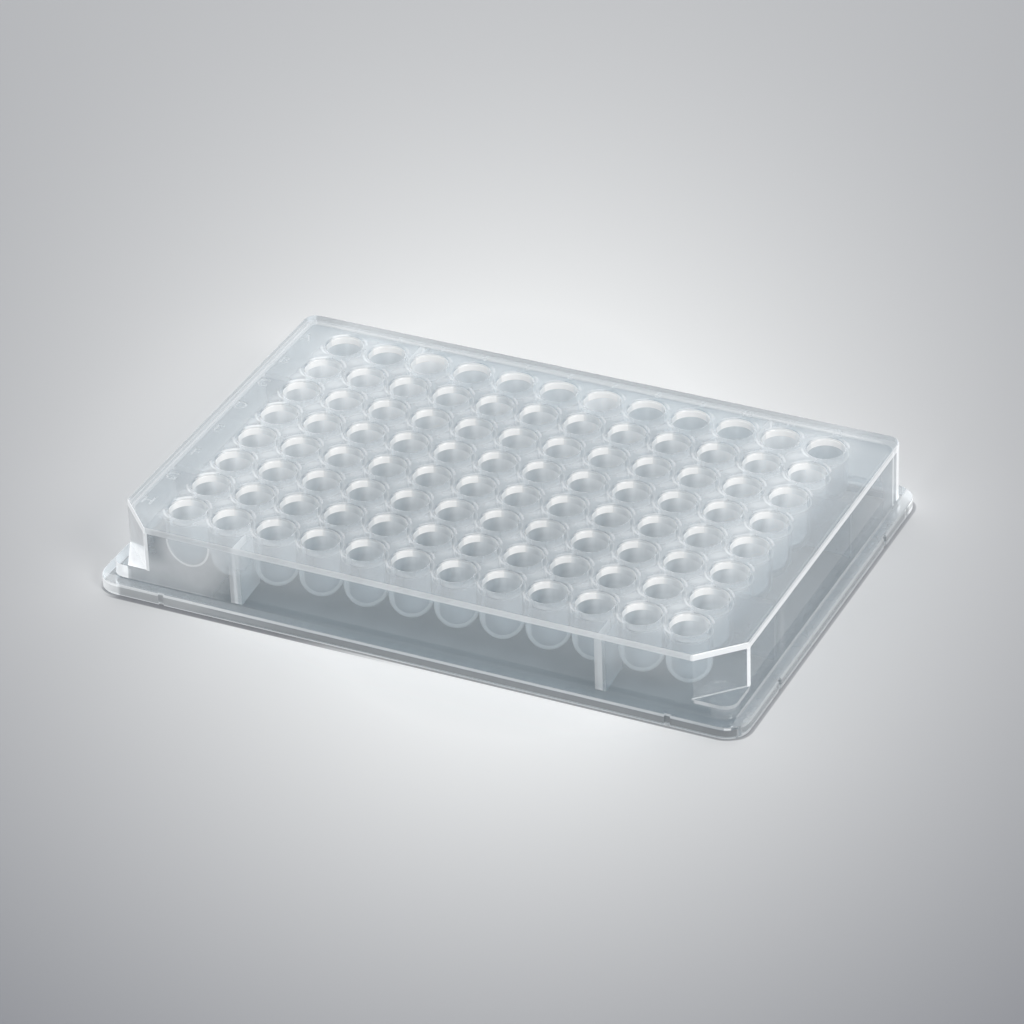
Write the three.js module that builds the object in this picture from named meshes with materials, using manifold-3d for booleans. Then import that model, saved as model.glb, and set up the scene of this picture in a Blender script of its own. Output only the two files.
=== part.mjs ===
// A 96-well microplate with round-bottomed wells, moulded in one piece of clear polystyrene.
// Millimetres, +Z up. The origin is the middle of the footprint, on the surface the plate rests on;
// +X runs along the long side from column 1 to column 12, and +Y from the row H side to the row A side.
import * as THREE from "three";
import { mergeVertices } from "three/addons/utils/BufferGeometryUtils.js";
import Module from "manifold-3d";

const wasm = await Module();
wasm.setup();

// ---- Driving dimensions ----

// Footprint and overall height
const footprintLength = 127.76;
const footprintWidth = 85.48;
const plateHeight = 14.35;

// Base flange
const flangeHeight = 2.41;
const flangeReach = 2.5; // how far it stands out from the side walls
const flangeCornerRadius = 4.5;

// Notches in the flange's outer face, two to a side
const notchWidth = 1.2;
const notchDepth = 0.5;
const notchFromEnd = 13.9; // on the long sides, from the end of the footprint
const notchFromSide = 17.7; // on the short sides, from the side of the footprint

// Recess under the rim, which sits over the deck of a plate stacked below
const nestDepth = 1.2;
const nestClearance = 0.3;

// Side walls and deck
const wallThickness = 1.3;
const wallCornerRadius = 2.5;
const deckThickness = 1.2;

// The two front corners, cut off above a small ledge
const cornerCut = 7.5; // along each side
const ledgeHeight = 5.25; // top of the ledge
const ledgeThickness = 1.2;

// Wells
const columnCount = 12;
const rowCount = 8;
const wellPitch = 9.0;
const wellDiameter = 6.9;
const wellDepth = 10.7;
const tubeThickness = 0.75; // wall of each well's tube and round bottom

// Ribs that tie the side walls to the outer tubes
const ribThickness = 1.5;
const ribFoot = 1.5; // height of a rib's lower edge at the wall
const ribRise = 0.7; // how much higher the lower edge is at its inner end
const longSideRibGap = 2; // ribs stand in the gap after this many columns, from each end
const shortSideRibGap = 2; // and in the gap after this many rows, from each side

// Facets
const wellSides = 10;
const tubeSides = 8;
const cornerSteps = 4; // chords in each rounded corner
const overlap = 0.5; // how far a joined piece reaches into its neighbour
const overshoot = 1.0; // how far a cut runs past the surface it opens

// ---- Derived sizes ----

const wallLength = footprintLength - 2 * flangeReach;
const wallWidth = footprintWidth - 2 * flangeReach;
const deckUnderside = plateHeight - deckThickness;
const wellRadius = wellDiameter / 2;
const tubeRadius = wellRadius + tubeThickness;
const domeHeight = plateHeight - wellDepth + wellRadius; // centre of the round bottoms

// ---- Helpers ----

function solidOf(geometry) {
  const bare = geometry.clone();
  bare.deleteAttribute("normal");
  bare.deleteAttribute("uv");
  const merged = mergeVertices(bare, 1e-4);
  return new wasm.Manifold(
    new wasm.Mesh({
      numProp: 3,
      vertProperties: new Float32Array(merged.attributes.position.array),
      triVerts: new Uint32Array(merged.index.array),
    }),
  );
}

function geometryOf(solid) {
  const mesh = solid.getMesh();
  const geometry = new THREE.BufferGeometry();
  geometry.setAttribute("position", new THREE.BufferAttribute(mesh.vertProperties, 3));
  geometry.setIndex(new THREE.BufferAttribute(mesh.triVerts, 1));
  return geometry;
}

// A flat outline raised from one height to another
function prism(shape, bottom, top) {
  const geometry = new THREE.ExtrudeGeometry(shape, {
    depth: top - bottom,
    bevelEnabled: false,
    curveSegments: cornerSteps,
  });
  return solidOf(geometry.translate(0, 0, bottom));
}

// A rectangle about the origin with all four corners rounded, or with its two front corners
// (towards -Y) cut off straight where a cut is given
function plateOutline(length, width, radius, cut = 0) {
  const x = length / 2;
  const y = width / 2;
  const shape = new THREE.Shape();
  if (cut > 0) {
    shape.moveTo(-x, cut - y);
    shape.lineTo(cut - x, -y);
    shape.lineTo(x - cut, -y);
    shape.lineTo(x, cut - y);
  } else {
    shape.absarc(radius - x, radius - y, radius, Math.PI, 1.5 * Math.PI);
    shape.absarc(x - radius, radius - y, radius, 1.5 * Math.PI, 2 * Math.PI);
  }
  shape.absarc(x - radius, y - radius, radius, 0, 0.5 * Math.PI);
  shape.absarc(radius - x, y - radius, radius, 0.5 * Math.PI, Math.PI);
  shape.closePath();
  return shape;
}

// A round-bottomed plug standing on its dome, turned about the vertical axis through the origin
function roundBottomed(radius, top, sides) {
  const dome = (degrees) => {
    const angle = THREE.MathUtils.degToRad(degrees);
    return new THREE.Vector2(radius * Math.sin(angle), domeHeight - radius * Math.cos(angle));
  };
  const profile = [
    new THREE.Vector2(0, domeHeight - radius),
    dome(48),
    dome(90),
    new THREE.Vector2(radius, top),
    new THREE.Vector2(0, top),
  ];
  const turn = new THREE.LatheGeometry(profile, sides);
  // The lathe turns about Y: stand it up and set a flat facet towards each neighbour
  return turn.rotateX(Math.PI / 2).rotateZ(Math.PI / sides);
}

function wellCentres() {
  const centres = [];
  for (let row = 0; row < rowCount; row++) {
    for (let column = 0; column < columnCount; column++) {
      centres.push([
        (column - (columnCount - 1) / 2) * wellPitch,
        ((rowCount - 1) / 2 - row) * wellPitch,
      ]);
    }
  }
  return centres;
}

function atEveryWell(geometry) {
  const one = solidOf(geometry);
  const copies = wellCentres().map(([x, y]) => one.translate(x, y, 0));
  return wasm.Manifold.union(copies);
}

// ---- Parts of the moulding ----

function shell() {
  const flange = prism(
    plateOutline(footprintLength, footprintWidth, flangeCornerRadius),
    0,
    flangeHeight,
  );
  const lowerWall = prism(plateOutline(wallLength, wallWidth, wallCornerRadius), 0, ledgeHeight);
  const upperWall = prism(
    plateOutline(wallLength, wallWidth, wallCornerRadius, cornerCut),
    0,
    plateHeight,
  );
  return flange.add(lowerWall).add(upperWall);
}

// The space under the deck, and the wider recess in the rim
function hollow() {
  const length = wallLength - 2 * wallThickness;
  const width = wallWidth - 2 * wallThickness;
  const radius = wallCornerRadius - wallThickness;
  // Moving a 45 degree cut inwards by the wall shortens it by this much
  const innerCut = cornerCut - wallThickness * (2 - Math.SQRT2);
  const upper = prism(plateOutline(length, width, radius, innerCut), -overshoot, deckUnderside);
  const lower = prism(plateOutline(length, width, radius), -overshoot, ledgeHeight - ledgeThickness);
  const nest = prism(
    plateOutline(
      wallLength + 2 * nestClearance,
      wallWidth + 2 * nestClearance,
      wallCornerRadius + nestClearance,
    ),
    -overshoot,
    nestDepth,
  );
  return upper.add(lower).add(nest);
}

function notches() {
  const box = new THREE.BoxGeometry(
    notchWidth,
    2 * notchDepth,
    flangeHeight + 2 * overshoot,
  ).translate(0, 0, flangeHeight / 2);
  const onLongSide = solidOf(box);
  const onShortSide = solidOf(box.clone().rotateZ(Math.PI / 2));
  const cuts = [];
  for (const side of [-1, 1]) {
    for (const end of [-1, 1]) {
      cuts.push(
        onLongSide.translate(
          end * (footprintLength / 2 - notchFromEnd),
          (side * footprintWidth) / 2,
          0,
        ),
        onShortSide.translate(
          (end * footprintLength) / 2,
          side * (footprintWidth / 2 - notchFromSide),
          0,
        ),
      );
    }
  }
  return wasm.Manifold.union(cuts);
}

// One rib standing along +X from a tube's centre line to the inside of a wall at reach
function rib(reach) {
  const shape = new THREE.Shape();
  shape.moveTo(0, ribFoot + ribRise);
  shape.lineTo(reach, ribFoot);
  shape.lineTo(reach + overlap, ribFoot);
  shape.lineTo(reach + overlap, deckUnderside + overlap);
  shape.lineTo(0, deckUnderside + overlap);
  shape.closePath();
  const geometry = new THREE.ExtrudeGeometry(shape, { depth: ribThickness, bevelEnabled: false });
  return geometry.translate(0, 0, -ribThickness / 2).rotateX(Math.PI / 2);
}

function ribs() {
  const lastColumn = ((columnCount - 1) / 2) * wellPitch;
  const lastRow = ((rowCount - 1) / 2) * wellPitch;
  const longSideX = (columnCount / 2 - longSideRibGap) * wellPitch;
  const shortSideY = (rowCount / 2 - shortSideRibGap) * wellPitch;
  const toEnd = rib(wallLength / 2 - wallThickness - lastColumn);
  const toSide = rib(wallWidth / 2 - wallThickness - lastRow);
  const made = [];
  for (const x of [-longSideX, longSideX]) {
    made.push(solidOf(toSide.clone().rotateZ(Math.PI / 2).translate(x, lastRow, 0)));
    made.push(solidOf(toSide.clone().rotateZ(-Math.PI / 2).translate(x, -lastRow, 0)));
  }
  for (const y of [-shortSideY, shortSideY]) {
    made.push(solidOf(toEnd.clone().translate(lastColumn, y, 0)));
    made.push(solidOf(toEnd.clone().rotateZ(Math.PI).translate(-lastColumn, y, 0)));
  }
  return wasm.Manifold.union(made);
}

function wellPlate() {
  const tubes = atEveryWell(roundBottomed(tubeRadius, deckUnderside + overlap, tubeSides));
  const wells = atEveryWell(roundBottomed(wellRadius, plateHeight + overshoot, wellSides));
  const solid = shell().subtract(hollow()).subtract(notches()).add(tubes).add(ribs()).subtract(wells);
  const clearPolystyrene = new THREE.MeshStandardMaterial({
    color: 0xd9e2e6,
    roughness: 0.12,
    metalness: 0,
    transparent: true,
    opacity: 0.45,
  });
  const mesh = new THREE.Mesh(geometryOf(solid), clearPolystyrene);
  mesh.name = "well_plate";
  return mesh;
}

const plate = new THREE.Group();
plate.add(wellPlate());

export default plate;
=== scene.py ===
import math

import bmesh
import bpy
from mathutils import Matrix, Vector


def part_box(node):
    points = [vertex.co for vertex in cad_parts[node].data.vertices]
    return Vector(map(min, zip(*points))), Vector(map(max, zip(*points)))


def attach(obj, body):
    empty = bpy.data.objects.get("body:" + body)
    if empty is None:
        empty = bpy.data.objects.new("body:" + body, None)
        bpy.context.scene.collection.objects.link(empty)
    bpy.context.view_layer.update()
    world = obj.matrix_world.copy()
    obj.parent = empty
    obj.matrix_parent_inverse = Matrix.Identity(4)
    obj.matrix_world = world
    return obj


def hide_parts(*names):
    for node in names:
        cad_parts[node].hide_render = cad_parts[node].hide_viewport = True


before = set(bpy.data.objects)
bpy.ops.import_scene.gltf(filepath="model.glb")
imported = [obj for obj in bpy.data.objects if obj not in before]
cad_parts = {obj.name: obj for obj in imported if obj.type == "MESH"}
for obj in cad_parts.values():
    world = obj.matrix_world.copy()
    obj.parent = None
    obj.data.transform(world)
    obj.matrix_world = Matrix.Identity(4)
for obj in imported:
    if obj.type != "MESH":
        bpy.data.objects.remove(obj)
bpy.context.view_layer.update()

# ---------------------------------------------------------------- sizes, in metres

MM = 0.001
LOW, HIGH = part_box("well_plate")
LENGTH = HIGH.x - LOW.x
WIDTH = HIGH.y - LOW.y
HEIGHT = HIGH.z

FLANGE_HEIGHT = 2.41 * MM
FLANGE_REACH = 2.5 * MM
FLANGE_CORNER = 4.5 * MM
WALL_LENGTH = LENGTH - 2 * FLANGE_REACH
WALL_WIDTH = WIDTH - 2 * FLANGE_REACH
WALL = 1.3 * MM
WALL_CORNER = 2.5 * MM
DECK = 1.2 * MM
DECK_UNDERSIDE = HEIGHT - DECK
NEST_DEPTH = 1.2 * MM
NEST_CLEARANCE = 0.3 * MM
CORNER_CUT = 7.5 * MM
LEDGE_TOP = 5.25 * MM
LEDGE = 1.2 * MM

COLUMNS = 12
ROWS = 8
PITCH = 9.0 * MM
WELL_RADIUS = 3.45 * MM
WELL_DEPTH = 10.7 * MM
TUBE_RADIUS = 4.2 * MM
DOME_CENTRE = HEIGHT - WELL_DEPTH + WELL_RADIUS

LETTER_HEIGHT = 2.5 * MM
NUMBER_HEIGHT = 1.9 * MM
LETTER_DEPTH = 0.12 * MM
LETTERS_AT = -57.6 * MM
NUMBERS_AT = 37.3 * MM
CAPITAL = 0.73

RIB = 1.5 * MM
RIB_FOOT = 1.5 * MM
RIB_RISE = 0.7 * MM
SIDE_RIBS_AT = (COLUMNS / 2 - 2) * PITCH
END_RIBS_AT = (ROWS / 2 - 2) * PITCH

NOTCH_WIDTH = 1.2 * MM
NOTCH_DEPTH = 0.5 * MM
NOTCH_FROM_END = 13.9 * MM
NOTCH_FROM_SIDE = 17.7 * MM

# Small radii of the moulding
DECK_EDGE_ROUND = 0.35 * MM
FLANGE_ROUND = 0.3 * MM
LEDGE_ROUND = 0.2 * MM
CUT_END_ROUND = 0.5 * MM
WALL_FOOT_ROUND = 0.5 * MM
CEILING_ROUND = 0.6 * MM
RIM_ROUND = 0.5 * MM
TUBE_ROOT_ROUND = 0.25 * MM

TURN_SIDES = 32
SHARP_FROM = math.radians(32)
LEAST_ROUND = 0.05 * MM
TOLERANCE = 0.05 * MM
# How far a joined solid reaches into the next, and a cutting one past what it cuts
OVERLAP = 0.4 * MM
CUT_PAST = 1 * MM

# ---------------------------------------------------------------- camera


def aim_camera():
    azimuth = math.radians(26.29)
    elevation = math.radians(32.275)
    roll = math.radians(-2.142)
    standoff = 0.89706
    back = Vector((math.sin(azimuth) * math.cos(elevation), -math.cos(azimuth) * math.cos(elevation),
                   math.sin(elevation)))
    right = Vector((math.cos(azimuth), math.sin(azimuth), 0))
    up = back.cross(right)
    tilted_right = right * math.cos(roll) + up * math.sin(roll)
    tilted_up = up * math.cos(roll) - right * math.sin(roll)
    aim = Vector((0, 0, 7 * MM)) + tilted_right * 0.43 * MM + tilted_up * 0.055 * MM
    turn = Matrix((tilted_right, tilted_up, back)).transposed().to_4x4()
    data = bpy.data.cameras.new("camera")
    data.sensor_width = 36
    data.lens = 172.2
    data.clip_end = 20
    camera = bpy.data.objects.new("camera", data)
    bpy.context.scene.collection.objects.link(camera)
    camera.matrix_world = Matrix.Translation(aim + back * standoff) @ turn
    bpy.context.scene.camera = camera


aim_camera()

# ---------------------------------------------------------------- mesh building


def mesh_object(name, mesh):
    piece = bpy.data.objects.new(name, mesh)
    bpy.context.scene.collection.objects.link(piece)
    return piece


def finished(name, net):
    """The object made of a bmesh, which this frees."""
    mesh = bpy.data.meshes.new(name)
    net.to_mesh(mesh)
    net.free()
    return mesh_object(name, mesh)


def rounded(corners, steps):
    """The corners (x, y, radius) of a convex outline, each drawn as an arc of so many steps."""
    points = []
    for i, (x, y, radius) in enumerate(corners):
        here = Vector((x, y))
        before = Vector(corners[i - 1][:2])
        after = Vector(corners[(i + 1) % len(corners)][:2])
        arriving = (here - before).normalized()
        leaving = (after - here).normalized()
        turn = -arriving.angle_signed(leaving)
        reach = radius * math.tan(turn / 2)
        start = here - arriving * reach
        centre = start + Vector((-arriving.y, arriving.x)) * radius
        for step in range(steps + 1):
            spoke = start - centre
            spoke.rotate(Matrix.Rotation(turn * step / steps, 2))
            points.append(centre + spoke)
    return points


def plate_outline(length, width, corner, inset=0.0, cut=0.0, steps=8):
    """A rectangle moved inwards by inset, with round corners, or with its front corners cut straight off."""
    x = length / 2 - inset
    y = width / 2 - inset
    corner = max(corner - inset, LEAST_ROUND)
    back = [(x, y, corner), (-x, y, corner)]
    if not cut:
        return rounded([(-x, -y, corner), (x, -y, corner)] + back, steps)
    leg = cut - inset * (2 - math.sqrt(2))
    end = max(CUT_END_ROUND - inset, LEAST_ROUND)
    front = [(-x, leg - y, end), (leg - x, -y, end), (x - leg, -y, end), (x, leg - y, end)]
    return rounded(front + back, steps)


def loft(name, loops):
    """A closed skin through outlines of equal length, each given as (points, height), from the bottom up."""
    net = bmesh.new()
    rings = [[net.verts.new((p.x, p.y, z)) for p in points] for points, z in loops]
    count = len(rings[0])
    for lower, upper in zip(rings, rings[1:]):
        for i in range(count):
            j = (i + 1) % count
            net.faces.new((lower[i], lower[j], upper[j], upper[i]))
    net.faces.new(rings[0][::-1])
    net.faces.new(rings[-1])
    return finished(name, net)


def quarter(radius, steps):
    """Points (across, up) round a quarter circle: across falls from radius to 0 while up rises to radius."""
    angles = [math.radians(90 * i / steps) for i in range(steps + 1)]
    return [(radius * math.cos(a), radius * math.sin(a)) for a in angles]


def turned(name, profile, centres):
    """A closed turned solid at every centre. The profile (radius, height) runs from the axis up to the axis."""
    net = bmesh.new()
    for cx, cy in centres:
        rings = []
        for radius, z in profile[1:-1]:
            rings.append([
                net.verts.new((cx + radius * math.cos(a), cy + radius * math.sin(a), z))
                for a in (2 * math.pi * i / TURN_SIDES for i in range(TURN_SIDES))
            ])
        foot = net.verts.new((cx, cy, profile[0][1]))
        crown = net.verts.new((cx, cy, profile[-1][1]))
        for i in range(TURN_SIDES):
            j = (i + 1) % TURN_SIDES
            net.faces.new((foot, rings[0][j], rings[0][i]))
            for lower, upper in zip(rings, rings[1:]):
                net.faces.new((lower[i], lower[j], upper[j], upper[i]))
            net.faces.new((crown, rings[-1][i], rings[-1][j]))
    return finished(name, net)


def boxes(name, pieces):
    """Closed boxes, each given as (centre, size)."""
    net = bmesh.new()
    for centre, size in pieces:
        stretch = Matrix.Diagonal((*size, 1))
        bmesh.ops.create_cube(net, size=1, matrix=Matrix.Translation(centre) @ stretch)
    return finished(name, net)


def combine(base, steps):
    """Joins ("UNION") or cuts ("DIFFERENCE") each tool in turn, and returns the base with the result."""
    for operation, tool in steps:
        change = base.modifiers.new(tool.name, "BOOLEAN")
        change.solver = "MANIFOLD"
        change.operation = operation
        change.object = tool
    done = base.evaluated_get(bpy.context.evaluated_depsgraph_get())
    mesh = bpy.data.meshes.new_from_object(done)
    base.modifiers.clear()
    base.data = mesh
    for _, tool in steps:
        bpy.data.objects.remove(tool)
    return base


# ---------------------------------------------------------------- parts of the moulding


def well_centres():
    return [((column - (COLUMNS - 1) / 2) * PITCH, ((ROWS - 1) / 2 - row) * PITCH)
            for row in range(ROWS) for column in range(COLUMNS)]


def flange():
    def ring(inset, z):
        return plate_outline(LENGTH, WIDTH, FLANGE_CORNER, inset), z

    foot = [ring(FLANGE_ROUND / 2 - up, up) for up in (0, 0.1 * MM)]
    top = [ring(FLANGE_ROUND - across, FLANGE_HEIGHT - FLANGE_ROUND + up)
           for across, up in quarter(FLANGE_ROUND, 4)]
    return loft("flange", foot + [ring(0, 0.2 * MM)] + top)


def lower_wall():
    def ring(inset, z):
        return plate_outline(WALL_LENGTH, WALL_WIDTH, WALL_CORNER, inset), z

    r = WALL_FOOT_ROUND
    foot = [ring(-(r - across), FLANGE_HEIGHT + (r - up)) for across, up in quarter(r, 4)]
    top = [ring(LEDGE_ROUND - across, LEDGE_TOP - LEDGE_ROUND + up)
           for across, up in quarter(LEDGE_ROUND, 3)]
    return loft("lower_wall", [ring(-r, FLANGE_HEIGHT - OVERLAP)] + foot[::-1] + top)


def upper_wall():
    def ring(inset, z):
        return plate_outline(WALL_LENGTH, WALL_WIDTH, WALL_CORNER, inset, CORNER_CUT), z

    top = [ring(DECK_EDGE_ROUND - across, HEIGHT - DECK_EDGE_ROUND + up)
           for across, up in quarter(DECK_EDGE_ROUND, 4)]
    return loft("upper_wall", [ring(0, FLANGE_HEIGHT)] + top)


def under_hollow():
    def ring(inset, z):
        return plate_outline(WALL_LENGTH, WALL_WIDTH, WALL_CORNER, WALL + inset, CORNER_CUT), z

    top = [ring(CEILING_ROUND - across, DECK_UNDERSIDE - CEILING_ROUND + up)
           for across, up in quarter(CEILING_ROUND, 4)]
    return loft("under_hollow", [ring(0, -CUT_PAST)] + top)


def corner_hollow():
    outline = plate_outline(WALL_LENGTH, WALL_WIDTH, WALL_CORNER, WALL)
    return loft("corner_hollow", [(outline, -CUT_PAST), (outline, LEDGE_TOP - LEDGE)])


def nest_hollow():
    outline = plate_outline(WALL_LENGTH, WALL_WIDTH, WALL_CORNER, -NEST_CLEARANCE)
    return loft("nest_hollow", [(outline, -CUT_PAST), (outline, NEST_DEPTH)])


def round_bottom(radius):
    """A dome's profile (radius, height), from its lowest point out to where the bore runs straight up."""
    angles = [math.radians(10 * i) for i in range(10)]
    return [(radius * math.sin(a), DOME_CENTRE - radius * math.cos(a)) for a in angles]


def tubes():
    r = TUBE_ROOT_ROUND
    root = [(TUBE_RADIUS + r - across, DECK_UNDERSIDE - r + up) for across, up in quarter(r, 3)]
    top = DECK_UNDERSIDE + OVERLAP
    profile = round_bottom(TUBE_RADIUS) + root + [(TUBE_RADIUS + r, top), (0, top)]
    return turned("tubes", profile, well_centres())


def wells():
    r = RIM_ROUND
    rim = [(WELL_RADIUS + r - across, HEIGHT - r + up) for across, up in quarter(r, 3)]
    top = HEIGHT + CUT_PAST
    profile = round_bottom(WELL_RADIUS) + rim + [(WELL_RADIUS + r, top), (0, top)]
    return turned("wells", profile, well_centres())


def rib(name, x, y, direction, reach):
    """A rib from a tube's centre line, standing out along direction to the wall at reach."""
    along = Vector((*direction, 0))
    across = Vector((-direction[1], direction[0], 0)) * RIB / 2
    start = Vector((x, y, 0))
    top = DECK_UNDERSIDE + OVERLAP
    end = reach + OVERLAP
    side = [(0, RIB_FOOT + RIB_RISE), (reach, RIB_FOOT), (end, RIB_FOOT), (end, top), (0, top)]
    net = bmesh.new()
    near = [net.verts.new(start + along * u + across + Vector((0, 0, z))) for u, z in side]
    far = [net.verts.new(start + along * u - across + Vector((0, 0, z))) for u, z in side]
    net.faces.new(near)
    net.faces.new(far[::-1])
    for i in range(len(side)):
        j = (i + 1) % len(side)
        net.faces.new((near[j], near[i], far[i], far[j]))
    bmesh.ops.recalc_face_normals(net, faces=net.faces)
    return finished(name, net)


def ribs():
    last_column = (COLUMNS - 1) / 2 * PITCH
    last_row = (ROWS - 1) / 2 * PITCH
    to_end = WALL_LENGTH / 2 - WALL - last_column
    to_side = WALL_WIDTH / 2 - WALL - last_row
    made = []
    for sign in (-1, 1):
        for side in (-1, 1):
            made.append(rib("side_rib", sign * SIDE_RIBS_AT, side * last_row, (0, side), to_side))
            made.append(rib("end_rib", side * last_column, sign * END_RIBS_AT, (side, 0), to_end))
    return made


def notches():
    pieces = []
    tall = FLANGE_HEIGHT * 3
    for side in (-1, 1):
        for end in (-1, 1):
            pieces.append(((end * (LENGTH / 2 - NOTCH_FROM_END), side * WIDTH / 2, 0),
                           (NOTCH_WIDTH, 2 * NOTCH_DEPTH, tall)))
            pieces.append(((end * LENGTH / 2, side * (WIDTH / 2 - NOTCH_FROM_SIDE), 0),
                           (2 * NOTCH_DEPTH, NOTCH_WIDTH, tall)))
    return boxes("notches", pieces)


def lettering():
    """Sunk row letters and column numbers, as closed solids that stand through the deck's top."""
    marks = [(chr(ord("A") + row), LETTERS_AT, ((ROWS - 1) / 2 - row) * PITCH, LETTER_HEIGHT)
             for row in range(ROWS)]
    marks += [(str(column + 1), (column - (COLUMNS - 1) / 2) * PITCH, NUMBERS_AT, NUMBER_HEIGHT)
              for column in range(COLUMNS)]
    net = bmesh.new()
    for body, x, y, height in marks:
        text = bpy.data.curves.new(body, "FONT")
        text.body = body
        text.size = height / CAPITAL
        text.extrude = LETTER_DEPTH
        text.align_x = "CENTER"
        text.align_y = "CENTER"
        text.resolution_u = 3
        text.space_character = 0.9
        piece = mesh_object(body, text)
        piece.location = (x, y, HEIGHT)
        drawn = piece.evaluated_get(bpy.context.evaluated_depsgraph_get())
        solid = bpy.data.meshes.new_from_object(drawn)
        solid.transform(Matrix.Translation((x, y, HEIGHT)))
        net.from_mesh(solid)
        bpy.data.meshes.remove(solid)
        bpy.data.objects.remove(piece)
        bpy.data.curves.remove(text)
    bmesh.ops.remove_doubles(net, verts=net.verts, dist=0.005 * MM)
    bmesh.ops.recalc_face_normals(net, faces=net.faces)
    return finished("lettering", net)


def moulded_plate():
    steps = [("UNION", lower_wall()), ("UNION", upper_wall()), ("DIFFERENCE", under_hollow()),
             ("DIFFERENCE", corner_hollow()), ("DIFFERENCE", nest_hollow()), ("DIFFERENCE", notches()),
             ("UNION", tubes())]
    steps += [("UNION", piece) for piece in ribs()]
    steps += [("DIFFERENCE", wells()), ("DIFFERENCE", lettering())]
    plate = combine(flange(), steps)
    plate.name = "moulded_plate"
    for face in plate.data.polygons:
        face.use_smooth = True
    plate.data.set_sharp_from_angle(angle=SHARP_FROM)
    fair = plate.modifiers.new("fair_normals", "WEIGHTED_NORMAL")
    fair.keep_sharp = True
    return plate


plate = moulded_plate()

# ---------------------------------------------------------------- shader maths


class Field:
    """A socket whose value changes over a surface. Arithmetic on it adds Math nodes."""

    def __init__(self, socket):
        self.socket = socket

    def math(self, operation, *inputs):
        return add_node(self.socket.id_data, "ShaderNodeMath", {"operation": operation},
                        dict(enumerate(inputs)))[0]

    def __add__(self, other):
        return self.math("ADD", self, other)

    __radd__ = __add__

    def __sub__(self, other):
        return self.math("SUBTRACT", self, other)

    def __rsub__(self, other):
        return self.math("SUBTRACT", other, self)

    def __mul__(self, other):
        return self.math("MULTIPLY", self, other)

    __rmul__ = __mul__

    def __truediv__(self, other):
        return self.math("DIVIDE", self, other)

    def __rtruediv__(self, other):
        return self.math("DIVIDE", other, self)

    def __neg__(self):
        return self * -1

    def __abs__(self):
        return self.math("ABSOLUTE", self)

    def fraction(self):
        return self.math("FRACT", self)

    def root(self):
        return self.math("SQRT", self)

    def exponential(self):
        return self.math("EXPONENT", self)

    def least(self, other):
        return self.math("MINIMUM", self, other)

    def most(self, other):
        return self.math("MAXIMUM", self, other)

    def rise(self, low, high):
        """0 below low, 1 above high, and a smooth step between."""
        return add_node(self.socket.id_data, "ShaderNodeMapRange", {"interpolation_type": "SMOOTHSTEP"},
                        {"Value": self, "From Min": low, "From Max": high})[0]

    def near(self, centre, half, soft):
        """1 within half of centre, fading to 0 over soft more."""
        return 1 - abs(self - centre).rise(half, half + soft)


def add_node(tree, kind, settings=None, sockets=None):
    """Adds a node, sets it up, then fills or links its sockets by name or number. Gives back its outputs."""
    made = tree.nodes.new(kind)
    for name, value in (settings or {}).items():
        setattr(made, name, value)
    for key, value in (sockets or {}).items():
        if isinstance(value, Field):
            tree.links.new(value.socket, made.inputs[key])
        else:
            made.inputs[key].default_value = value
    return [Field(socket) for socket in made.outputs]


def distance(across, along):
    return (across * across + along * along).root()


def blend_colours(tree, share, first, second):
    return add_node(tree, "ShaderNodeMix", {"data_type": "RGBA"}, {0: share, 6: first, 7: second})[2]


def new_material(name):
    material = bpy.data.materials.new(name)
    material.use_nodes = True
    material.node_tree.nodes.clear()
    return material, material.node_tree


# ---------------------------------------------------------------- clear polystyrene

# The studio light stands behind the plate, a little to the left; the painted bands of light and shade run along
# this line.
LIGHT_TURN = math.radians(26.3)
ACROSS_X = math.cos(LIGHT_TURN)
ACROSS_Y = math.sin(LIGHT_TURN)

# What every face of the plastic has, before the painted light that its own part adds. The emitted share is
# painted light, all over.
BASE_HAZE = 0.035
BASE_PAINTED_GLOW = 0.1

BLACK = (0, 0, 0, 1)
COOL_WHITE = (0.97, 0.99, 1, 1)
MILK = (0.86, 0.885, 0.9, 1)
CLEAR = (0.80, 0.832, 0.852, 1)
# The milky share turns to this warm white in the wells' painted highlight
WARM_PAINTED_HIGHLIGHT = (0.93, 0.91, 0.89, 1)
# The milky share turns to this dark grey where shade is painted on the walls and flange
DARK_PAINTED_SHADE = (0.12, 0.13, 0.14, 1)


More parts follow.
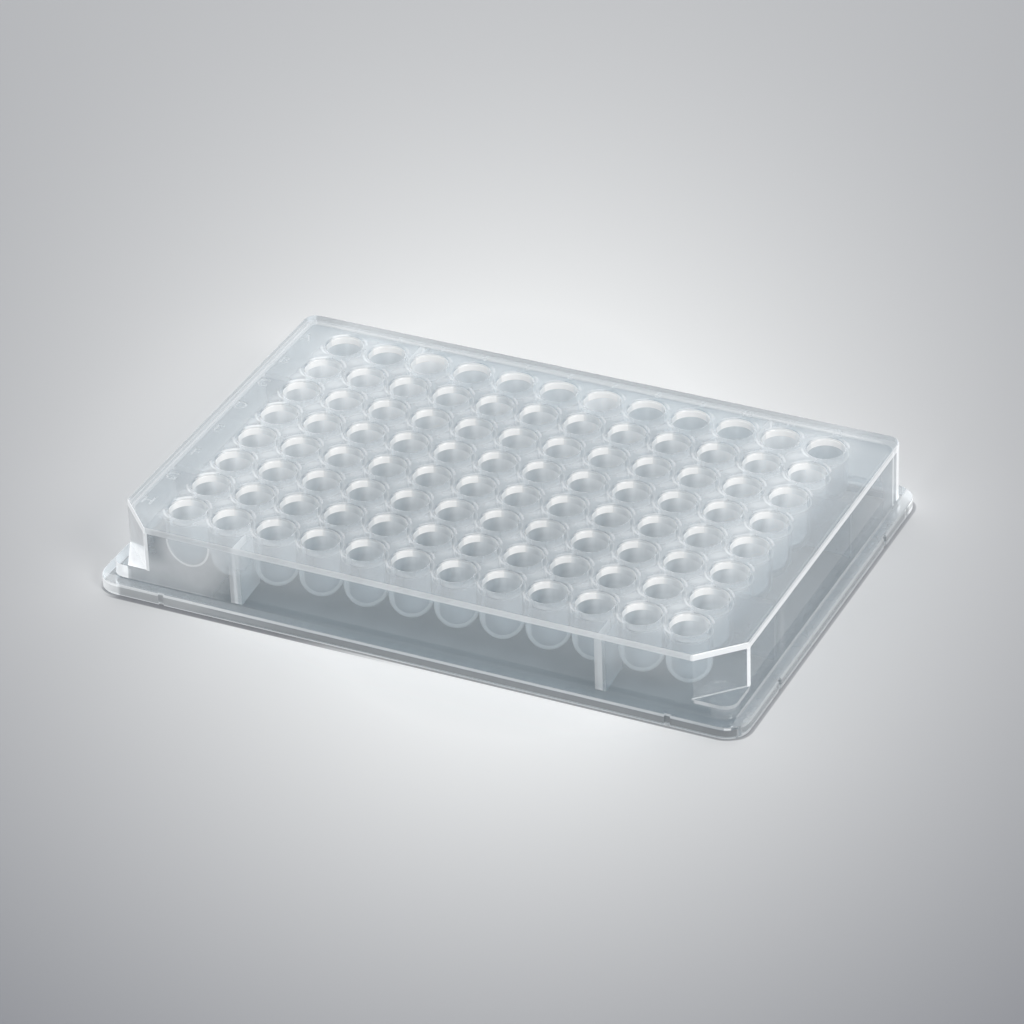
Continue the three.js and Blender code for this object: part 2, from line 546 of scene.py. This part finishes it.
class Surface:
    """A new material, with where each point lies, in millimetres, and which way it faces."""

    def __init__(self, name):
        self.material, self.tree = new_material(name)
        self.place = add_node(self.tree, "ShaderNodeTexCoord")[3]
        parts = add_node(self.tree, "ShaderNodeSeparateXYZ", sockets={0: self.place})
        self.x, self.y, self.z = (part / MM for part in parts)
        geometry = add_node(self.tree, "ShaderNodeNewGeometry")
        self.inner_face = geometry[6]
        self.nx, self.ny, self.nz = add_node(self.tree, "ShaderNodeSeparateXYZ", sockets={0: geometry[1]})
        self.steep = self.nz * self.nz
        self.facing = add_node(self.tree, "ShaderNodeLayerWeight", sockets={"Blend": 0.5})[1]
        # Towards the plate's ends, where the materials paint extra light
        self.ends = abs(self.x).rise(18, 58)

    def in_cell(self, across=0.0, back=0.0):
        """Where a point lies within its own well's square, or within squares moved by across and back."""
        pitch = PITCH / MM
        return [(((v + move) / pitch).fraction() - 0.5) * pitch
                for v, move in ((self.x, across), (self.y, back))]

    def clear_plastic(self, haze_and_painted_light, painted_glow, highlight_or_shade=None, highlight_or_shade_colour=None):
        """Clear plastic with a milky share, partly its own milkiness and partly painted light, which also emits
        a little painted light where it would carry light from inside. Where a third mask is given, that share
        turns towards the colour given after it, as a painted highlight or painted shade."""
        mottle = add_node(self.tree, "ShaderNodeTexNoise", sockets={
            "Vector": self.place, "Scale": 260.0, "Detail": 2.0})[0]
        haze_and_painted_light = haze_and_painted_light + 0.3 * self.facing * self.facing * self.facing * self.facing
        haze_and_painted_light = (haze_and_painted_light * (0.85 + 0.3 * mottle)).least(1)
        # Painted light, emitted by the plastic
        light = blend_colours(self.tree, painted_glow, BLACK, COOL_WHITE)
        milk = MILK if highlight_or_shade is None else blend_colours(self.tree, highlight_or_shade, MILK, highlight_or_shade_colour)
        milky = add_node(self.tree, "ShaderNodeBsdfPrincipled", sockets={
            "Base Color": milk, "Roughness": 0.3 + 0.15 * mottle, "Emission Color": light,
            "Emission Strength": 1.0})[0]
        clear = add_node(self.tree, "ShaderNodeBsdfTransparent", sockets={"Color": CLEAR})[0]
        body = add_node(self.tree, "ShaderNodeMixShader", sockets={0: haze_and_painted_light, 1: clear, 2: milky})[0]
        gloss = add_node(self.tree, "ShaderNodeBsdfAnisotropic", sockets={
            "Color": (1, 1, 1, 1), "Roughness": 0.06})[0]
        fresnel = add_node(self.tree, "ShaderNodeFresnel", sockets={"IOR": 1.59})[0]
        shine = fresnel * (1 - self.inner_face)
        whole = add_node(self.tree, "ShaderNodeMixShader", sockets={0: shine, 1: body, 2: gloss})[0]
        add_node(self.tree, "ShaderNodeOutputMaterial", sockets={"Surface": whole})
        self.material.cycles.emission_sampling = "NONE"
        return self.material


def deck_with_painted_light():
    """The deck's top and underside, with painted light in patches between the wells, in short arcs round the
    tubes and in thin lines along the walls, and painted shade beside the wells."""
    s = Surface("clear_deck")
    top = s.z.rise(13.7, 13.8)
    # Painted highlights in patches between the wells, where the tubes' roots would catch the light under the
    # deck
    patch_x, patch_y = s.in_cell(3.8, 4.6)
    along = (patch_x + patch_y) * (math.sqrt(0.5) / 2.7)
    across = (patch_x - patch_y) * (math.sqrt(0.5) / 1.6)
    patch = 1 - distance(across, along).rise(0.2, 1)
    patch = patch * (1 - abs(s.x).rise(52, 55)) * (1 - abs(s.y).rise(34, 36))
    wx, wy = s.in_cell()
    r = distance(wx, wy)
    # Painted highlight arcs at the back right and front left of each well, a painted halo at its back left, and
    # painted shade at its front right and in front of it
    arc = r.near(4.3, 0.1, 0.22) * (abs(0.7 * wx + 0.71 * wy) / r).rise(0.88, 0.97)
    halo = (1 - r.rise(3.8, 4.5)) * ((0.788 * wy - 0.616 * wx) / r).rise(0.85, 0.97)
    shadow = ((0.82 * wx - 0.57 * wy) / r).rise(0.7, 0.92) * (1 - r.rise(4.3, 5.4))
    dip_x, dip_y = s.in_cell(-1.5, 4.6)
    shadow = shadow.most(1 - distance(dip_x, dip_y).rise(0.6, 2.2))
    in_grid = (1 - abs(s.x).rise(54, 54.2)) * (1 - abs(s.y).rise(36, 36.2))
    # Painted highlight lines along the left and back walls
    lines = (s.x.near(-60.4, 0.08, 0.1) + s.x.near(-59.5, 0.15, 0.15)) * abs(s.y).near(0, 37, 1)
    lines = lines.most(s.y.near(37.3, 0.25, 0.2) * abs(s.x).near(0, 58, 1))
    # Painted light towards the ends, less at the right end and along the back
    ends = s.ends * (1 - abs(s.x).rise(50, 57)) * s.y.rise(-38, -33)
    right = 0.07 * (s.x - 0.12 * s.y).rise(47, 60)
    rear = 0.12 * s.y.rise(33, 37)
    plain = 0.105 + 0.0008 * s.y - right - rear + 0.13 * patch + 0.14 * ends + 0.18 * lines
    # Painted light at the front left
    plain = plain + 0.09 * (1 - s.x.rise(-40, 0)) * (1 - s.y.rise(-35, -31))
    plain = plain + in_grid * (0.18 * arc + (0.25 + 0.3 * (1 - s.x.rise(-46, -44))) * halo - 0.12 * shadow)
    return s.clear_plastic(BASE_HAZE + top * plain + 0.08 * (1 - top), BASE_PAINTED_GLOW + 0.1 * ends)


def wells_with_painted_light():
    """Inside the wells: a painted highlight where the lip and the deck's thickness would catch the light at the
    back left, and painted bands of light and shade down the bore.
    """
    s = Surface("clear_wells")
    wx, wy = s.in_cell()
    r = distance(wx, wy).most(0.1)
    sideways = wx * ACROSS_X + wy * ACROSS_Y
    far_side = ((wy * ACROSS_X - wx * ACROSS_Y) / r).rise(-0.3, 0.3)
    toward_light = (0.45 * wy - 0.894 * wx) / r
    past_light = (-0.45 * wx - 0.894 * wy) / r
    back_row = s.y.rise(27, 27.2)
    reach = toward_light + 0.25 * past_light.most(0) + 0.75 * back_row * wy.rise(-0.5, 2)
    mouth = s.z.rise(12.7, 12.9)
    lip = s.z.rise(13.9, 14.15)
    # The painted highlight at the back left of the mouth, fainter past the light and on the lip's top
    tail = past_light.rise(0.05, 0.4)
    crescent_highlight = mouth * reach.rise(0.5, 0.77) * (1 - tail * (0.65 + 0.35 * lip))
    crescent_highlight = crescent_highlight * (1 - 0.35 * s.z.rise(13.95, 14.2))
    bore = (1 - mouth) * far_side
    # Painted bands of light and shade down the bore
    right_half = sideways.rise(-1, 1)
    bands = 0.47 * sideways.rise(-1.6, 1.15) + 0.08 * sideways.rise(0.9, 1.5) + 0.05 * sideways.rise(1.6, 2.6)
    bands = bands + 0.3 * (1 - sideways.rise(-3.2, -2.6))
    bands = bands + 0.16 * s.z.rise(8.5, 12.6) * (1 - sideways.rise(0, 1.5))
    bands = bands + 0.14 * sideways.rise(-2, -0.8) * (1 - s.z.rise(10, 11.2))
    # Painted tone: lighter towards the back and the left, darker on the right half of the front rows
    rows = 0.004 * s.y - 0.0008 * s.x - right_half * (0.001 * s.x + 0.06 * (1 - s.y.rise(-31, -18)))
    ends = s.ends * (1 - back_row)
    # A painted glare on some wells of the back row
    glare = back_row * abs(((s.x + 31.5) / 36).fraction() - 0.5).rise(0.36, 0.365)
    bore_haze_and_painted_light = 0.26 + bands * (1 - 0.6 * back_row) + rows + 0.2 * ends
    bore_haze_and_painted_light = bore_haze_and_painted_light + back_row * (0.06 - 0.1 * s.x.rise(0, 10)) + 0.35 * glare
    mouth_haze_and_painted_light = 0.5 + 0.18 * sideways.rise(1.8, 3) + 0.22 * reach.rise(0, 0.5) + 0.15 * ends
    lip_shade = 0.26 + 0.2 * toward_light.rise(0, 0.5) + 0.35 * past_light.rise(0.2, 0.45)
    haze_and_painted_light = BASE_HAZE + bore * bore_haze_and_painted_light + mouth * far_side * mouth_haze_and_painted_light * (1 - lip * lip_shade)
    # Painted light on the near side of the lip, more in the front rows
    to_right = wx / r
    near_lip = mouth * (1 - far_side) * to_right.rise(-0.75, 0) * (1 - 0.65 * to_right.rise(0.1, 0.9))
    haze_and_painted_light = haze_and_painted_light + (0.29 + 0.12 * (1 - s.y.rise(-28, -14))) * near_lip
    haze_and_painted_light = haze_and_painted_light.most(0.93 * crescent_highlight)
    # The emitted light is painted too, most on the painted highlight
    painted_glow = BASE_PAINTED_GLOW + 0.08 * bore * right_half + (0.13 - 0.05 * back_row) * crescent_highlight
    painted_glow = painted_glow + 0.05 * mouth + 0.04 * ends + 0.001 * s.y
    return s.clear_plastic(haze_and_painted_light, painted_glow, crescent_highlight, WARM_PAINTED_HIGHLIGHT)


def tubes_with_painted_light():
    """Outside the tubes, with painted light: the front row shows as pale discs with a lighter outline, and the
    tubes are lighter at the root and emit more light towards the deck.
    """
    s = Surface("clear_tubes")
    root = s.z.rise(12.6, 12.95)
    front_row = (1 - s.y.rise(-27.2, -27)) * (
        1 - (s.z + 0.704 * s.y - 0.6 * (s.x - 49.3).most(0)).rise(-15.4, -14.8))
    # Only what shows below the deck's edge, which lies farther back at the cut corner
    outline = s.facing.rise(0.4, 0.5)
    haze_and_painted_light = 0.135 + 0.12 * root + 0.05 * s.ends
    disc = 0.31 + 0.3 * (1 - s.x.rise(-44, -34)) + 0.1 * s.x.rise(40, 47) + 0.25 * outline
    painted_glow = BASE_PAINTED_GLOW + 0.15 * s.z.rise(2, 14) + front_row * (0.05 + 0.05 * outline)
    return s.clear_plastic(haze_and_painted_light + front_row * disc, painted_glow)


def walls_with_painted_light():
    """The walls, flange, ledges, ribs and the deck's edge, with painted highlights and painted shade."""
    s = Surface("clear_walls")
    x, y, z = s.x, s.y, s.z
    wall_x = WALL_LENGTH / 2 / MM
    wall_y = WALL_WIDTH / 2 / MM
    cut = CORNER_CUT / MM
    ledge_z = LEDGE_TOP / MM
    flange_z = FLANGE_HEIGHT / MM
    underside_z = DECK_UNDERSIDE / MM
    upright = 1 - s.steep.rise(0.2, 0.6)
    slant = 4 * s.steep * (1 - s.steep)
    flat = s.steep.rise(0.7, 0.95)
    above = z.rise(underside_z - 0.05, underside_z + 0.05)
    below = 1 - above
    front = 1 - y.rise(-1, 0)
    side_wall = abs(y).rise(wall_y - 0.3, wall_y - 0.1)
    end_wall = abs(x).rise(wall_x - 0.3, wall_x - 0.1)
    front_wall = upright * side_wall * front * below
    outside = (abs(x) - wall_x).most(abs(y) - wall_y)
    corner = abs(x) - y - (wall_x + wall_y - cut)

    # Painted highlights along the edges, weaker at the rear and the left
    rim = 0.6 + 0.4 * s.nx.rise(0.3, 0.9) + 0.28 * corner.rise(-0.5, -0.2)
    rear = 0.33 - 0.08 * x.rise(35, 60) - 0.28 * (1 - x.rise(-60, -48))
    rim = rim - rear * s.ny.rise(0.2, 0.8) - 0.08 * (-s.nx).rise(0.8, 0.95)
    low_right = upright * x.rise(wall_x - 0.2, wall_x - 0.1) * z.rise(13, 13.1)
    deck_edge = above.most(low_right) * (1 - s.steep.rise(0.9, 0.98)) * rim
    deck_edge = deck_edge * (1 - 0.4 * s.nx.rise(0.4, 0.8) * z.rise(13.9, 14.2))
    letters = flat * z.near((HEIGHT - LETTER_DEPTH) / MM, 0.06, 0.03)
    # Painted highlight lines: the ceiling's fillet at the right, the flange's foot and top edge, and the wall's
    # foot at the right
    ceiling = slant * z.near(12.85, 0.3, 0.1) * x.rise(0, 30) * (1 - y.rise(36, 38))
    foot = upright * (1 - z.rise(0.35, 0.45)) * outside.rise(1, 1.5)
    flange_edge = z.near(flange_z - 0.1, 0.3, 0.15) * (1 - s.steep.rise(0.85, 0.99)) * outside.rise(1.5, 2)
    wall_foot = slant * z.near(flange_z + 0.25, 0.3, 0.1) * x.rise(wall_x - 0.1, wall_x)

    # Painted highlights on posts where a cut corner ends, and at the back right
    post_height = z.near(9.2, 4, 0.1) * upright
    right_post = post_height * (1 - distance(x - wall_x, y + wall_y - cut).rise(0.4, 0.55))
    left_post = post_height * (1 - distance(x + wall_x - cut, y + wall_y).rise(0.55, 0.75))
    post = right_post.most(0.85 * left_post)
    back_post = upright * x.rise(wall_x - 1.2, wall_x - 0.9) * (
        y.rise(wall_y - 3.7, wall_y - 3.2).most(0.6 * y.near(wall_y - 5, 0.2, 0.3)))

    # Painted highlights on the ledges over the cut corners
    ledge_edge = x.rise(0, 1) * upright * corner.rise(0, 0.3) * z.near(ledge_z - 0.4, 0.35, 0.12)
    ledge_edge = ledge_edge * (0.7 + 0.3 * (1 - abs(x).rise(56, 58.5)))
    ledge_line = corner.near(0, 0.15, 0.15) * z.near(ledge_z, 0.2, 0.1)
    ledge_side = upright * abs(x).rise(57, 57.5) * (1 - y.rise(-38.2, -37.5)) * z.near(3.5, 1.1, 0.1)

    # Ribs, as painted light: pale bars where they meet the wall and thin sheets behind it
    over_flange = z.rise(2.4, 2.6)
    bar = upright * abs(x).near(SIDE_RIBS_AT / MM, 0.7, 0.1) * side_wall * below * over_flange
    end_bar = upright * abs(y).near(END_RIBS_AT / MM, 0.7, 0.1) * end_wall * below * over_flange
    sheet = abs(x).near(SIDE_RIBS_AT / MM, 0.8, 0.05) * abs(y).rise(31.5, 32) * below
    sheet = sheet * (1 - abs(y).rise(wall_y - 1.5, wall_y - 1.3))
    end_sheet = abs(y).near(END_RIBS_AT / MM, 0.8, 0.05) * abs(x).rise(49.5, 50) * below
    end_sheet = end_sheet * (1 - abs(x).rise(wall_x - 1.5, wall_x - 1.3))

    # The front wall, with painted light at the left and along its top, a painted ring for the first tube
    # showing through it at the left, and painted light on the right cut
    front_left = front_wall * (1 - (x - 0.5 * z).rise(-46, -37))
    front_left = front_left * (1 - 0.7 * (1 - x.rise(-52, -48)) * z.rise(6, 10))
    tube_r = distance((x + 44.9) / 4.4, (z - 13.1) / 4.8)
    painted_tube_ring = front_wall * tube_r.near(0.96, 0.02, 0.05)
    front_left = front_left * (1 - 0.3 * (1 - tube_r.rise(0.9, 0.97)))
    left_part = x.rise(-36, -34) * (1 - x.rise(-30, -8))
    right_part = x.rise(36, 38) * (1 - x.rise(50, 53))
    front_top = front_wall * z.rise(5, 12) * (0.08 + 0.12 * left_part + 0.1 * right_part)
    right_cut = s.nx.rise(0.5, 0.6) * (1 - s.nx.rise(0.85, 0.95)) * corner.near(0, 0.3, 0.1) * front * below

    # Painted highlights on the front left corner and the flange's right tips
    width = x * ACROSS_X + y * ACROSS_Y
    near_left = (1 - x.rise(-53, -52)) * (1 - y.rise(-32, -31))
    on_cut = (-s.nx).rise(0.5, 0.6) * corner.near(0, 0.3, 0.1) * near_left
    lit_cut = on_cut * (1 - (z - ledge_z - 5.1 * (x + wall_x) / cut).rise(-0.2, 0.2))
    lit_ledge = flat * z.near(ledge_z, 0.15, 0.1) * corner.rise(-0.2, 0) * near_left * width.rise(-69.7, -69.5)
    lit_side = upright * near_left * (1 - width.rise(-69.8, -69.4))
    lit_side = lit_side * (1 - z.rise(ledge_z, ledge_z + 0.1)) * z.rise(2.4, 2.5)
    lit_flange = upright * near_left * (1 - width.rise(-71.8, -71)) * (1 - z.rise(2.4, 2.5))
    lit_corner = lit_cut.most(lit_ledge).most(lit_side).most(lit_flange)
    at_front = 1 - y.rise(-41.5, -41)
    lit_tip = upright * x.rise(62.6, 63) * y.rise(35.5, 36.5) * z.near(1.5, 0.8, 0.2)
    lit_tip = lit_tip.most(upright * x.near(61.2, 0.5, 0.2) * at_front * z.near(2.1, 0.3, 0.1))

    # Painted shade on the rear and left edges under the deck and on the flange's sides, and a painted highlight
    # line at the right flange's foot
    rear_edge = y.rise(wall_y - 0.3, wall_y - 0.1) * (1 - 0.5 * x.rise(35, 60))
    left_edge = (-x).rise(wall_x - 0.3, wall_x - 0.1)
    far_edge = upright * z.rise(11.6, 12) * rear_edge.most(0.6 * left_edge)
    flange_front = upright * at_front * z.near(1.25, 0.6, 0.15)
    flange_front = flange_front * (0.6 * x.rise(-64, -58) + 0.4 * x.rise(-50, -15))
    flange_right = upright * x.rise(63, 63.3) * z.near(1.45, 0.4, 0.15)
    foot_right = upright * x.rise(63, 63.3) * z.near(0.5, 0.2, 0.15)
    shade = 0.75 * far_edge + 0.9 * flange_front + 0.7 * flange_right

    # Painted light on the flange's top, and on the right wall towards the back
    on_flange = flat * z.near(flange_z, 0.15, 0.1)
    flange_left = (1 - x.rise(-50, -5)) * (1 - y.rise(-wall_y, 0.3 - wall_y))
    flange_top = on_flange * x.rise(wall_x, wall_x + 0.3).most(flange_left)
    right_back = upright * x.rise(wall_x - 0.3, wall_x - 0.1) * y.rise(5, 42) * below

    # The milky share, with the painted light and shade above
    haze_and_painted_light = BASE_HAZE + 0.45 * front_left * (0.8 + 0.2 * z.rise(3, 7)) + 0.12 * right_cut
    haze_and_painted_light = haze_and_painted_light + 0.6 * on_cut * below + 0.12 * ledge_side
    haze_and_painted_light = haze_and_painted_light + 0.3 * far_edge + 0.65 * flange_front + 0.4 * flange_right + front_top + 0.3 * painted_tube_ring
    haze_and_painted_light = haze_and_painted_light + 0.2 * on_flange * x.rise(61.5, 62) * y.rise(30, 40) + 0.22 * flange_top + 0.28 * right_back
    haze_and_painted_light = haze_and_painted_light.most(deck_edge)
    for share, mask in (
            (0.4, letters), (0.3, ceiling), (0.35, wall_foot), (0.85, post), (0.9, back_post),
            (0.55, ledge_edge), (0.5, ledge_line), (0.4, bar), (0.12, end_bar), (0.25, end_sheet),
            (0.75, sheet * (1 - 0.3 * x.rise(0, 10))),
            (0.85, foot * (1 - 0.42 * x.rise(-10, 10))),
            (0.75, flange_edge * (1 - 0.33 * x.rise(-40, -15) - 0.2 * x.rise(50, 62))),
            (0.5, foot_right), (0.7, lit_tip), (0.8, lit_corner)):
        haze_and_painted_light = haze_and_painted_light.most(share * mask)
    # Painted light, emitted most on painted highlights and less where shade is painted
    painted_glow = BASE_PAINTED_GLOW + 0.08 * deck_edge + 0.25 * post + 0.3 * lit_corner - 0.1 * lit_cut + 0.1 * lit_tip
    painted_glow = painted_glow + 0.25 * back_post + 0.06 * sheet * (1 - x.rise(0, 10))
    painted_glow = painted_glow + 0.2 * deck_edge * near_left - 0.1 * shade
    return s.clear_plastic(haze_and_painted_light, painted_glow, shade, DARK_PAINTED_SHADE)


def dress(plate):
    """Gives each face the material of its part, with that part's painted light and shade: deck, inside of a
    well, outside of a tube, or wall.
    """
    deck, inside, outside, wall = range(4)
    mesh = plate.data
    mesh.materials.clear()
    for painted_material in (deck_with_painted_light(), wells_with_painted_light(), tubes_with_painted_light(), walls_with_painted_light()):
        mesh.materials.append(painted_material)
    columns_reach = COLUMNS / 2 * PITCH
    rows_reach = ROWS / 2 * PITCH
    for face in mesh.polygons:
        x, y, z = face.center
        level = abs(face.normal.z) > 0.95
        in_grid = abs(x) < columns_reach and abs(y) < rows_reach
        wx = (x / PITCH) % 1 * PITCH - PITCH / 2
        wy = (y / PITCH) % 1 * PITCH - PITCH / 2
        r = Vector((wx, wy, min(0, z - DOME_CENTRE))).length
        if level and (z > HEIGHT - TOLERANCE or abs(z - DECK_UNDERSIDE) < TOLERANCE):
            face.material_index = deck
        elif in_grid and r < WELL_RADIUS + RIM_ROUND + TOLERANCE:
            face.material_index = inside
        elif in_grid and r < TUBE_RADIUS + TUBE_ROOT_ROUND + TOLERANCE:
            face.material_index = outside
        else:
            face.material_index = wall


dress(plate)
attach(plate, "root")
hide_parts("well_plate")

# ---------------------------------------------------------------- floor and light


def floor():
    net = bmesh.new()
    bmesh.ops.create_grid(net, x_segments=1, y_segments=1, size=6)
    piece = finished("floor", net)
    material, tree = new_material("pale_floor")
    place = add_node(tree, "ShaderNodeTexCoord")[3]
    x, y, _ = (v / MM for v in add_node(tree, "ShaderNodeSeparateXYZ", sockets={0: place}))
    across = x * ACROSS_X + y * ACROSS_Y
    along = y * ACROSS_X - x * ACROSS_Y
    outside_x = (abs(x) - (LENGTH / 2 - FLANGE_CORNER) / MM).most(0)
    outside_y = (abs(y) - (WIDTH / 2 - FLANGE_CORNER) / MM).most(0)
    gap = distance(outside_x, outside_y) - FLANGE_CORNER / MM

    # A painted contact shadow: the dark line under the flange
    at_right = x.rise(62, 64)
    contact_shadow = 0.7 * gap.near(0.1, 0.15 + 0.15 * at_right, 0.2 + 0.15 * at_right)
    contact_shadow = contact_shadow.most(0.95 * gap.near(0.3, 0.5, 0.4) * x.near(-50, 22, 35) * x.rise(-62, -58))
    contact_shadow = contact_shadow * (1 - (1 - x.rise(-30, 0)) * y.rise(-42, -41))

    # Painted light makes the floor a little paler round the plate and towards the back, and painted shade makes
    # it darker under the plate
    tone = 0.165 + 0.00085 * along.least(250).most(-150)
    tone = tone + 1.2 * (-distance(across / 75, along / 128)).exponential()
    share = (((tone - 0.3) / 0.55).least(1) * (1 - contact_shadow)).most(0)
    share = share - 0.2 * (1 - gap.rise(-3, -1))
    colour = blend_colours(tree, share, (0.282, 0.289, 0.311, 1), (0.85, 0.86, 0.86, 1))

    # Painted light, emitted by the floor beside the plate, where the plate would gather light and throw it
    # there
    painted_throw = 0.31 - 0.19 * x.rise(38, 66) - 0.05 * x.rise(60, 64) * y.rise(15, 40)
    painted_throw = painted_throw - 0.24 * (1 - x.rise(-64, -30)) * (1 - y.rise(-45, -10))
    painted_throw = painted_throw * (gap * (-1 / 10.5)).exponential() * gap.rise(0, 0.5) * (1 - contact_shadow)
    painted_glow = blend_colours(tree, painted_throw, BLACK, (0.98, 0.99, 1, 1))
    surface = add_node(tree, "ShaderNodeBsdfPrincipled", sockets={
        "Base Color": colour, "Roughness": 0.8, "Emission Color": painted_glow, "Emission Strength": 1.0})[0]
    add_node(tree, "ShaderNodeOutputMaterial", sockets={"Surface": surface})
    material.cycles.emission_sampling = "NONE"
    piece.data.materials.append(material)


def lamp(name, place, aim, size, power):
    data = bpy.data.lights.new(name, "AREA")
    data.shape = "DISK"
    data.size = size
    data.energy = power
    piece = bpy.data.objects.new(name, data)
    bpy.context.scene.collection.objects.link(piece)
    piece.location = place
    piece.rotation_euler = (Vector(aim) - Vector(place)).to_track_quat("-Z", "Y").to_euler()


def studio():
    world = bpy.data.worlds.new("studio")
    bpy.context.scene.world = world
    world.use_nodes = True
    tree = world.node_tree
    tree.nodes.clear()
    direction = add_node(tree, "ShaderNodeTexCoord")[0]
    bright_side = Vector((-0.44, 0.9, 0.45)).normalized()
    toward = add_node(tree, "ShaderNodeVectorMath", {"operation": "DOT_PRODUCT"},
                      {0: direction, 1: bright_side})[1]
    light = add_node(tree, "ShaderNodeBackground", sockets={
        "Color": (0.985, 0.99, 1, 1), "Strength": 0.6 + 1.15 * toward.rise(0.6, 0.95)})[0]
    add_node(tree, "ShaderNodeOutputWorld", sockets={"Surface": light})
    lamp("right_softbox", (2.9, -1.1, 2.2), (0, 0, 0), 1.6, 48)


floor()
studio()

scene = bpy.context.scene
scene.view_settings.view_transform = "Standard"
scene.cycles.max_bounces = 6
scene.cycles.diffuse_bounces = 2
scene.cycles.transparent_max_bounces = 32
